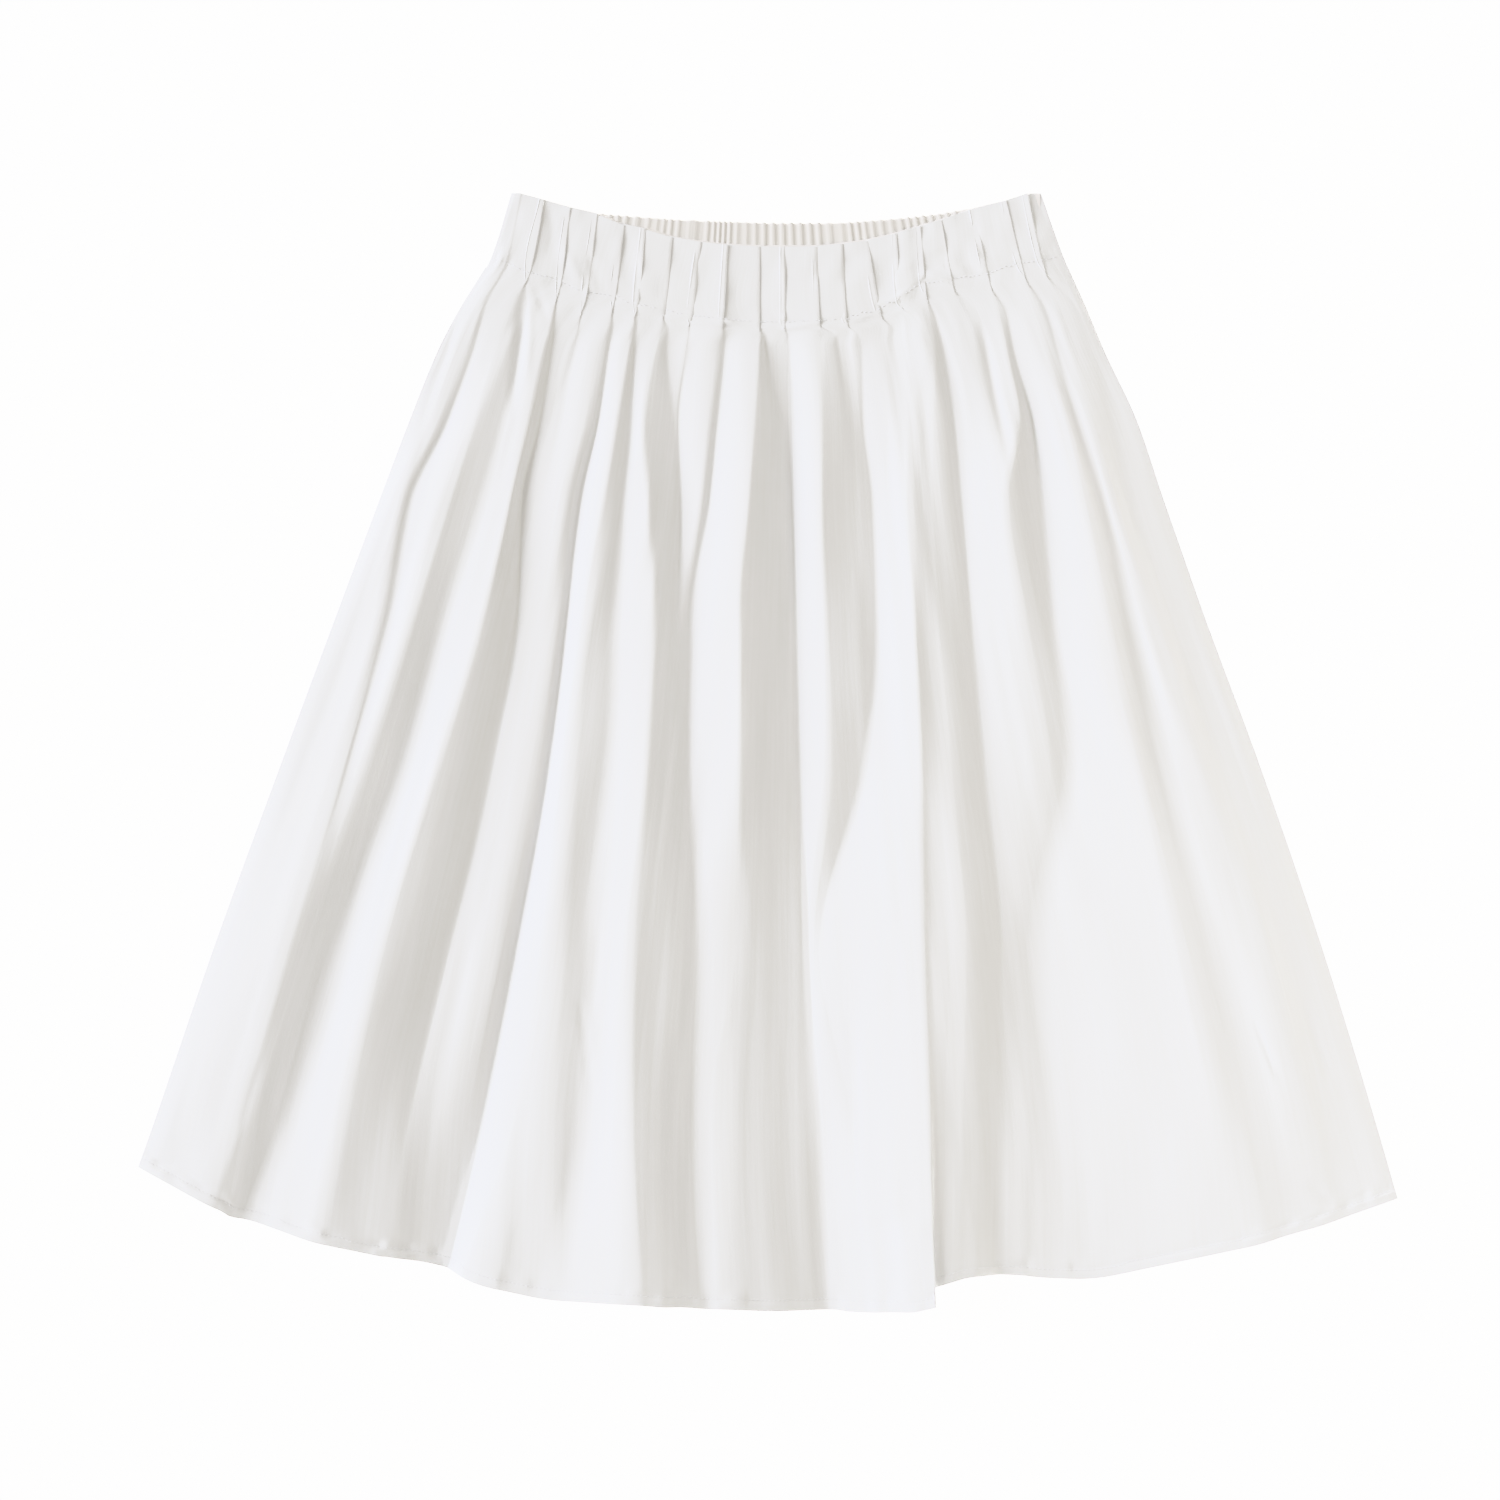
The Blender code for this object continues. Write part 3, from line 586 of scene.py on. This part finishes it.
# Small creases pressed into the front: from, to, half width, rise (a trough below 0)
smallCreases = (
    # x     y    x     y   width  rise
    (-146, 738, -143, 700, 3.0, -0.9),
    (-135, 708, -124, 683, 2.5, 0.5),
    (-117, 702, -115, 686, 3.5, -0.7),
    (-93, 722, -94, 685, 3.5, -1.2),
    (-84, 703, -82, 676, 2.0, 0.5),
    (-62, 714, -57, 690, 3.5, -0.7),
    (-43, 706, -45, 672, 3.0, -0.7),
    (-24, 708, -23, 670, 3.0, -0.7),
    (14, 708, 15, 694, 3.0, -0.7),
    (35, 705, 34, 688, 3.0, -0.7),
    (56, 706, 52, 684, 5.0, -1.0),
    (80, 704, 78, 680, 6.0, -1.0),
    (78, 668, 93, 680, 2.5, 0.9),
    (104, 692, 122, 686, 2.5, 0.8),
    (112, 706, 110, 692, 5.0, -0.8),
    (92, 700, 96, 684, 4.0, 0.5),
    (135, 712, 146, 690, 3.0, 0.6),
    (126, 704, 140, 688, 3.0, -0.6),
    (-162, 679, -170, 600, 3.5, -1.4),
    (-158, 667, -161, 620, 2.5, 0.8),
    (-155, 682, -147, 661, 2.0, -0.7),
    (142, 654, 161, 567, 4.0, -1.6),
    (-209, 654, -235, 574, 4.0, -1.0),
    (-112, 254, -117, 197, 2.0, -0.7),
    (-125, 207, -115, 133, 1.8, -0.6),
    (323, 194, 340, 152, 1.8, -0.6),
    (355, 207, 375, 154, 3.5, -0.7),
    (55, 207, 61, 114, 5.0, -0.6),
    (361, 87, 375, 71, 4.0, -0.6),
    (-337, 167, -351, 121, 3.0, -0.3),
)


def creaseRise(points):
    # Each small crease adds rise * exp(-(distance / width)^2) along its line, fading out to its ends
    total = np.zeros(points.shape[:2])
    for x0, y0, x1, y1, width, rise in smallCreases:
        run = np.array([x1 - x0, y1 - y0], float)
        away = points[:, :, :2] - (x0, y0)
        t = away @ run / (run @ run)
        distance = np.linalg.norm(away - np.clip(t, 0, 1)[:, :, None] * run, axis=2)
        profile = rise * np.exp(-(distance / width) ** 2)
        total += profile * smoothStep(-0.15, 0.3, t) * smoothStep(-1.15, -0.7, -t)
    return total


unevenness = {
    # width across the cloth, length down it, rise, seed
    "crinkles": ((7, 75, 0.28, 3), (17, 110, 0.75, 4), (38, 160, 1.15, 8)),
    "hemPucker": (5, 9, 0.60, 5),
    "bandPucker": (4, 7, 0.34, 6),
    "bandSoft": (9, 16, 0.38, 7),
    "puckerRun": 5,             # a pucker fades out over this distance from its stitching
    "hemGroove": (0.30, 0.9),   # depth and half width of the groove that the stitching pulls in
    "bandGroove": (0.25, 1.0),
    "sideFade": 20,             # crinkles fade in over this distance from the side seams
    "bandFade": (690, 640),     # band above the first, skirt below the second
    "bandShare": 0.25,          # of the crinkles in the band
    "leastHeight": 1.15,        # no relief presses the front below this, into the back panel
    "overCasing": 1.5,          # or this much higher, into the casing
    "casingFrom": (655, 672),
}


def noiseLayer(u, v, layer):
    width, length, rise, seed = layer
    return rise * latticeNoise(u / width, v / length, seed)


def frontRelief(points, uv):
    # Height added to the folded cloth: crinkles down the cloth, puckers and a groove at each row of
    # stitching, which fade out as exp(-(distance / run)^2), soft unevenness in the band, and small creases
    u, v = uv[:, :, 0], -uv[:, :, 1]
    bandEdge, skirtEdge = unevenness["bandFade"]
    skirt = smoothStep(-bandEdge, -skirtEdge, -points[:, :, 1])
    crinkle = sum(noiseLayer(u, v, layer) for layer in unevenness["crinkles"])
    crinkle *= smoothStep(0, unevenness["sideFade"], np.minimum(u - u[:, :1], u[:, -1:] - u))
    crinkle = crinkle * (unevenness["bandShare"] + (1 - unevenness["bandShare"]) * skirt)

    def stitched(distance, pucker, groove):
        depth, width = groove
        puckers = noiseLayer(u, v, pucker) * np.exp(-(distance / unevenness["puckerRun"]) ** 2)
        return puckers, depth * np.exp(-(distance / width) ** 2)

    seamUp = front["hemStitchUp"]
    toBand = points[:, :, 1] - points[bandRow:bandRow + 1, :, 1]
    hemPuckers, hemGroove = stitched(upFromHem - seamUp, unevenness["hemPucker"], unevenness["hemGroove"])
    bandPuckers, bandGroove = stitched(toBand, unevenness["bandPucker"], unevenness["bandGroove"])
    raised = smoothStep(seamUp + front["hemRaiseRun"], seamUp - front["hemRaiseRun"], upFromHem)
    hemGroove = -hemGroove + front["hemRaise"] * raised
    bandSoft = noiseLayer(u, v, unevenness["bandSoft"]) * (1 - skirt)
    return crinkle + hemPuckers + hemGroove + (bandPuckers - bandGroove) + bandSoft + creaseRise(points)


overCasing = unevenness["overCasing"] * smoothStep(*unevenness["casingFrom"], frontPoints[:, :, 1])
lowest = np.minimum(frontPoints[:, :, 2], unevenness["leastHeight"] + overCasing)
frontPoints[:, :, 2] = np.maximum(frontPoints[:, :, 2] + frontRelief(frontPoints, frontUv), lowest)
frontNormals = gridNormals(frontPoints)


def frontPanels():
    # Three strips of the grid, with the hem's layers below its stitching as thicker cloth
    seamUp, run = front["hemStitchUp"], front["hemLayersRun"]
    oneLayer = front["thickness"] / front["hemThickness"]
    thick = oneLayer + (1 - oneLayer) * smoothStep(seamUp + run, seamUp - run, upFromHem)
    names = ("frontLeft", "frontMiddle", "frontRight")
    for name, left, right in zip(names, [0, *frontCuts], [*frontCuts, None]):
        span = slice(left, None if right is None else right + 1)
        points = frontPoints[:, span]
        piece = clothObject(name, points, frontUv[:, span], cotton["frontCotton"], front["hemThickness"],
                            share=thick[:, span])
        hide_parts("front_panel")


frontPanels()

facing = {
    "thickness": 0.5,
    "depth": 10.0,
    "proud": 1.4,               # rise over the front's top edge, from the side seams to the middle
    "ends": 0.3,                # below that edge at the side seams
    "under": 0.5,               # below the front's resting height
    "inset": 1.0,
    "points": 420,
    "smoothOver": 31,
    "lift": (8, 0.25, 11),      # run, rise and seed of its waves along the edge
    "profile": ((0.0, -0.35), (0.5, -0.1), (1.5, 0.0), (3.0, 0.0), (6.0, -0.1)),  # distance down, curl
    "lowCurl": -0.3,            # at its depth
}


def frontFacing():
    # A strip along the top edge: the edge's line moved up by proud * sin(pi s)^0.5 - ends, and down from
    # there to the depth
    x = np.r_[sideLines[0][0], [row[0] for row in ridgeX], sideLines[1][0]].astype(float)
    top = np.r_[sideHeights[0][0], [row[10] for row in foldHeights], sideHeights[1][0]]  # y there
    s = np.linspace(0, 1, facing["points"])
    inward = x + np.linspace(facing["inset"], -facing["inset"], len(x))
    alongX = np.interp(s, np.linspace(0, 1, len(x)), inward)
    edge = smoothed(np.interp(alongX, x, top), facing["smoothOver"])
    proud = facing["proud"] * np.sin(np.pi * s) ** 0.5 - facing["ends"]
    run, rise, seed = facing["lift"]
    lift = rise * latticeNoise(alongX / run, alongX * 0, seed)
    profile = [*facing["profile"], (facing["depth"], facing["lowCurl"])]
    rowsDown, curl = np.array(profile).T[:, :, None]
    z = restHeights[0] - facing["under"]
    points = np.stack(np.broadcast_arrays(alongX[None, :], edge + proud - rowsDown, z + curl + lift), axis=2)
    uv = np.stack(np.broadcast_arrays(alongX[None, :], -rowsDown), axis=2)
    piece = clothObject("frontFacing", points, uv, cotton["facingCotton"], facing["thickness"])
    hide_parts("front_facing")


waistband = {
    "thickness": 0.35,
    "height": 2.2,              # of the flattened tube
    "round": 1.1,               # radius of its top fold
    "drop": 46.0,               # from the top edge to the seam
    "inset": 3.5,               # from the side lines
    "gathers": 62,
    "pointsPerGather": 10,
    "spacing": (1.1, 19, 21),   # by how much of a gather's turn the spacing wanders, how often, and its seed
    "depths": (0.6, 0.4, 37, 22),  # mean, how far it wanders, how often, and its seed
    "overtone": 0.25,           # makes the crests sharper than the troughs
    "waves": 1.7,               # rise of a gather at the seam
    "topShare": 0.255,          # of it at the top fold
    "deepFrom": (19, 26),       # full depth sets in between these drops, where the front covers the casing
    "sink": 0.6,                # and its middle lies this much lower there
    "crest": 2.35,              # the front that lies on them presses the crests flat here
    "trough": 0.35,
    "endDip": 0.55,             # the ends are this much flatter
    "endRun": 30.0,
    "scallop": (0.5, 3.0),      # the gathers move the top edge by this, fading out over this drop
    "fullness": 1.5,            # cloth before gathering to cloth after, for the weave
    "arcPoints": 9,
    "innerRows": 26,
    "smoothOver": 41,
}
# x and y of the casing's top edge
bandTop = ((-171, 742), (-131, 733), (-112, 731), (-58, 727), (0, 725), (48, 725),
           (88, 728), (115, 731), (138, 735), (168, 739), (182, 742))


def sideX(side, height):
    # x of a side line at a height, straight between its levels
    top, band, hem = sideHeights[side]
    heights = lineHeights(np.array([top]), np.array([band]), hem)[:, 0]
    return np.interp(-np.asarray(height, float), -heights, sideLines[side])


def backWaistband():
    # The casing as a flattened tube: a profile of flat outer side, rounded top fold and gathered inner side.
    # Its gathers are waves across whose spacing and depth wander with smooth noise. They are shallow at the
    # top fold and full depth at the seam, where the front that lies on them presses their crests flat.
    s = np.linspace(0, 1, waistband["gathers"] * waistband["pointsPerGather"] + 1)
    top = np.array(bandTop, float)
    x0 = sideLines[0][0] + (sideLines[1][0] - sideLines[0][0]) * s
    edge = smoothed(np.interp(x0, top[:, 0], top[:, 1]), waistband["smoothOver"])
    wander, often, seed = waistband["spacing"]
    phase = 2 * np.pi * (waistband["gathers"] * s + wander * latticeNoise(s * often, s * 0, seed))
    mean, wander, often, seed = waistband["depths"]
    depth = mean + wander * latticeNoise(s * often, s * 0 + 3, seed)
    wave = depth * (np.sin(phase) - waistband["overtone"] * np.cos(2 * phase))
    ends = 1 - waistband["endDip"] * np.exp(-np.minimum(s, 1 - s) * waistband["endRun"])
    a = np.linspace(0, np.pi, waistband["arcPoints"])
    arcDrop = waistband["round"] * (1 - np.sin(a))
    arcZ = waistband["height"] * (0.5 - 0.5 * np.cos(a))
    inner = np.linspace(waistband["round"], waistband["drop"], waistband["innerRows"])[1:]
    outer = inner[::-1][::3]  # the flat side needs fewer rows
    drop = np.concatenate([outer, arcDrop, inner])
    z = np.concatenate([np.zeros(len(outer)), arcZ, np.full(len(inner), waistband["height"])])
    onTop = np.concatenate([np.zeros(len(outer)), 0.5 - 0.5 * np.cos(a), np.ones(len(inner))])
    deep = smoothStep(*waistband["deepFrom"], drop) * onTop
    full = waistband["topShare"] * onTop + (1 - waistband["topShare"]) * deep
    lift = waistband["waves"] * wave[None, :] * full[:, None] - waistband["sink"] * deep[:, None]
    scallop, fade = waistband["scallop"]
    y = edge[None, :] - drop[:, None] + scallop * wave[None, :] * np.exp(-drop / fade)[:, None]
    left = sideX(0, edge[0] - drop) + waistband["inset"]
    right = sideX(1, edge[-1] - drop) - waistband["inset"]
    x = left[:, None] + (right - left)[:, None] * s[None, :]
    z = np.clip((z[:, None] + lift) * ends, waistband["trough"], waistband["crest"])
    points = np.stack([x, y, z], axis=2)[::-1]
    uv = np.stack(np.broadcast_arrays(x0[None, :] * waistband["fullness"], -drop[::-1][:, None]), axis=2)
    piece = clothObject("backWaistband", points, uv, cotton["bandCotton"], waistband["thickness"])
    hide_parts("back_waistband")


back = {
    "thickness": 0.6,
    "columns": 300,
    "rows": 150,
    "seamGap": 0.3,
    "gathers": (60, 3, 31),     # bumps across and down, and their seed
    "gatherRise": 0.35,
    "gatherFade": 9,            # they fade out as exp(-gatherFade * t) from the seam to the hem
}
# x and y of the back's own hem
backHem = ((-420, 98), (-369, 75), (-305, 51), (-250, 40), (-197, 33), (-150, 26), (-100, 21),
           (-40, 18), (20, 18), (70, 21), (110, 27), (156, 29), (224, 26), (329, 49), (388, 68), (420, 78))


def backPanel():
    # A flat fan from the casing's seam to its own hem, straight from one to the other, with low gathers
    s, t = np.linspace(0, 1, back["columns"])[None, :], np.linspace(0, 1, back["rows"])[:, None]
    top, hem = np.array(bandTop, float), np.array(backHem, float)
    topX = sideLines[0][0] + (sideLines[1][0] - sideLines[0][0]) * s
    topY = np.interp(topX, top[:, 0], top[:, 1]) - waistband["drop"] - back["seamGap"]
    hemX = hem[0, 0] + (hem[-1, 0] - hem[0, 0]) * s
    hemY = np.interp(hemX, hem[:, 0], hem[:, 1])
    y = topY + (hemY - topY) * t
    left, right = sideX(0, y[:, 0])[:, None], sideX(1, y[:, -1])[:, None]
    x = left + (right - left) * s
    acrossBumps, downBumps, seed = back["gathers"]
    gather = latticeNoise(s * acrossBumps + t * 0, t * downBumps, seed)
    z = back["thickness"] + back["gatherRise"] * (gather + 1) * np.exp(-t * back["gatherFade"])
    points = np.stack([x, y, z], axis=2)
    uv = np.stack([x, y], axis=2)
    piece = clothObject("backPanel", points, uv, cotton["backCotton"], back["thickness"])
    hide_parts("back_panel")


frontFacing()
backWaistband()
backPanel()
print("facing, waistband and back made")

stitch = {
    "length": 2.3,
    "every": 3.0,
    "radius": 0.19,
    "endRadius": 0.02,          # square of the end rings' share of the radius
    "rings": 7,
    "sides": 6,
    "bow": 0.12,                # its middle stands this much over its ends
    "hemLift": 0.05,            # over the cloth
    "bandLift": 0.1,
    "fromSeam": 4,
    "steep": 0.3,               # cloth whose normal rises less than this faces sideways
    "sideways": 5,              # and counts as so much farther away
    "apart": 0.5,               # share of a difference in height that counts as distance
}


def stitchObject(name, places, runs, normals):
    # Capsules of thread, one for every place. Along the run, t goes from -1 to 1, a ring's radius goes as the
    # square root of 1 - t^4 and its middle stands bow * (1 - t^2) over the cloth.
    t = np.linspace(-1, 1, stitch["rings"])
    radius = stitch["radius"] * np.sqrt(np.maximum(1 - t ** 4, stitch["endRadius"]))
    angle = np.linspace(0, 2 * np.pi, stitch["sides"], endpoint=False)
    along = np.repeat(t * stitch["length"] / 2, len(angle))
    side = (radius[:, None] * np.cos(angle)).reshape(-1)
    bow = stitch["bow"] * (1 - np.repeat(t, len(angle)) ** 2)
    rise = (radius[:, None] * np.sin(angle)).reshape(-1) + bow
    across = np.cross(normals, runs)
    points = (places[:, None] + runs[:, None] * along[None, :, None] + across[:, None] * side[None, :, None]
              + normals[:, None] * rise[None, :, None])
    ring, turn = np.arange(len(t) - 1)[:, None], np.arange(len(angle))[None, :]
    a, b = ring * len(angle) + turn, ring * len(angle) + (turn + 1) % len(angle)
    quads = np.stack([a, b, b + len(angle), a + len(angle)], axis=2).reshape(-1, 4)
    perStitch = len(t) * len(angle)
    first = np.arange(len(places))[:, None] * perStitch
    faces = (quads[None] + first[:, :, None]).reshape(-1, 4).tolist()
    startCaps = first + np.arange(len(angle))[::-1]
    endCaps = first + perStitch - len(angle) + np.arange(len(angle))
    mesh = bpy.data.meshes.new(name)
    mesh.from_pydata(placed(points), [], faces + np.concatenate([startCaps, endCaps]).tolist())
    mesh.uv_layers.new(name="clothUV")
    piece = newPiece(name, mesh, cotton["sewingThread"])
    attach(piece, "root")


def hemStitches():
    # One stitch every few millimetres of the cloth's own length along the hem's row
    row = np.argmin(np.abs(upFromHem - front["hemStitchUp"]), axis=0)
    line = frontPoints[row, np.arange(frontPoints.shape[1])]
    normal = frontNormals[row, np.arange(frontPoints.shape[1])]
    length = np.concatenate([[0], np.cumsum(np.linalg.norm(np.diff(line, axis=0), axis=1))])
    at = np.arange(stitch["every"], length[-1] - stitch["every"], stitch["every"])
    half = stitch["length"] / 2
    place, start, end, up = (np.stack([np.interp(a, length, v[:, i]) for i in range(3)], axis=1)
                             for a, v in ((at, line), (at - half, line), (at + half, line), (at, normal)))
    runs, up = unit(end - start), unit(up)
    up = unit(up - runs * (up * runs).sum(axis=1, keepdims=True))
    stitchObject("hemStitches", place + up * stitch["hemLift"], runs, up)


def bandStitches():
    # Every few millimetres of x along the band's stitching, each on the layer of its pleat that shows: the
    # nearest point of the row, where one that faces sideways counts as farther, and so does a height apart
    line = frontTips(rows[bandRow:bandRow + 1])[0]
    ridges, valleys = line[0, 2:-2:2], line[0, 3:-2:2]
    starts = np.concatenate([line[0, 1:2], valleys])
    ends = np.concatenate([ridges, line[0, -2:-1]])
    x = np.arange(line[0, 0, 0] + stitch["fromSeam"], line[0, -1, 0] - stitch["fromSeam"], stitch["every"])
    face = np.searchsorted(ridges[:, 0], x)
    share = np.clip((x - starts[face, 0]) / (ends[face, 0] - starts[face, 0]), 0, 1)
    place = starts[face] * (1 - share[:, None]) + ends[face] * share[:, None]
    near = np.argmin(np.abs(frontPoints[bandRow, :, 0][None, :] - x[:, None])
                     + stitch["sideways"] * (frontNormals[bandRow, :, 2][None, :] < stitch["steep"])
                     + stitch["apart"] * np.abs(frontPoints[bandRow, :, 2][None, :] - place[:, 2:3]), axis=1)
    place = np.stack([x, frontPoints[bandRow, near, 1], frontPoints[bandRow, near, 2]], axis=1)
    runs = unit(ends[face] - starts[face])
    up = unit(np.tile([[0.0, 0.0, 1.0]], (len(x), 1)) - runs * runs[:, 2:3])
    stitchObject("bandStitches", place + up * stitch["bandLift"], runs, up)


hemStitches()
bandStitches()
print("stitches made")

studio = {
    "floorSize": 8.0,           # metres
    "floorBelow": 0.0002,
    "floorColour": (0.96, 0.96, 0.96),
    "floorGlow": 6.0,           # lit through from below, so it photographs white
    "ambientColour": (1.0, 0.955, 0.86),
    "ambient": 0.70,
}
lights = {
    # place, aimed at the middle; spread of a sun in degrees or side of an area in metres; strength; colour
    "softboxLeft": ("SUN", (-0.93, 0.2, 0.31), 28.0, 4.9, (0.835, 0.87, 0.965)),
    "fillRight": ("AREA", (0.85, -0.15, 0.52), 0.5, 2.2, (1.0, 1.0, 1.0)),
}
camera = {"x": -0.012, "y": 0.0015, "distance": 2.5, "frameWidth": 1.0, "sensor": 36.0}


def studioFloor():
    bpy.ops.mesh.primitive_plane_add(size=studio["floorSize"], location=(0, 0, -studio["floorBelow"]))
    floor = bpy.context.object
    floor.name = "floor"
    material = bpy.data.materials.new("paleFloor")
    material.use_nodes = True
    shader = material.node_tree.nodes["Principled BSDF"]
    shader.inputs["Base Color"].default_value = (*studio["floorColour"], 1.0)
    shader.inputs["Roughness"].default_value = 0.9
    shader.inputs["Specular IOR Level"].default_value = 0.1
    shader.inputs["Emission Color"].default_value = (1.0, 1.0, 1.0, 1.0)
    shader.inputs["Emission Strength"].default_value = studio["floorGlow"]
    floor.data.materials.append(material)


def studioLight():
    for name, (kind, place, spread, strength, colour) in lights.items():
        data = bpy.data.lights.new(name, kind)
        if kind == "SUN":
            data.angle = np.radians(spread)
        else:
            data.size = spread
        data.energy = strength
        data.color = colour
        lamp = bpy.data.objects.new(name, data)
        lamp.location = place
        lamp.rotation_euler = (-Vector(place)).to_track_quat("-Z", "Y").to_euler()
        scene.collection.objects.link(lamp)
    world = bpy.data.worlds.new("studio")
    world.use_nodes = True
    background = world.node_tree.nodes["Background"]
    background.inputs["Color"].default_value = (*studio["ambientColour"], 1.0)
    background.inputs["Strength"].default_value = studio["ambient"]
    scene.world = world
    scene.view_settings.view_transform = "Khronos PBR Neutral"


def photoCamera():
    # Straight above, at the distance and lens that make the frame one metre wide on the floor
    data = bpy.data.cameras.new("photoCamera")
    data.sensor_width = camera["sensor"]
    data.lens = camera["sensor"] * camera["distance"] / camera["frameWidth"]
    item = bpy.data.objects.new("photoCamera", data)
    item.location = (camera["x"], camera["y"], camera["distance"])
    scene.collection.objects.link(item)
    scene.camera = item


studioFloor()
studioLight()
photoCamera()
print("floor, light and camera made")

print("all made")
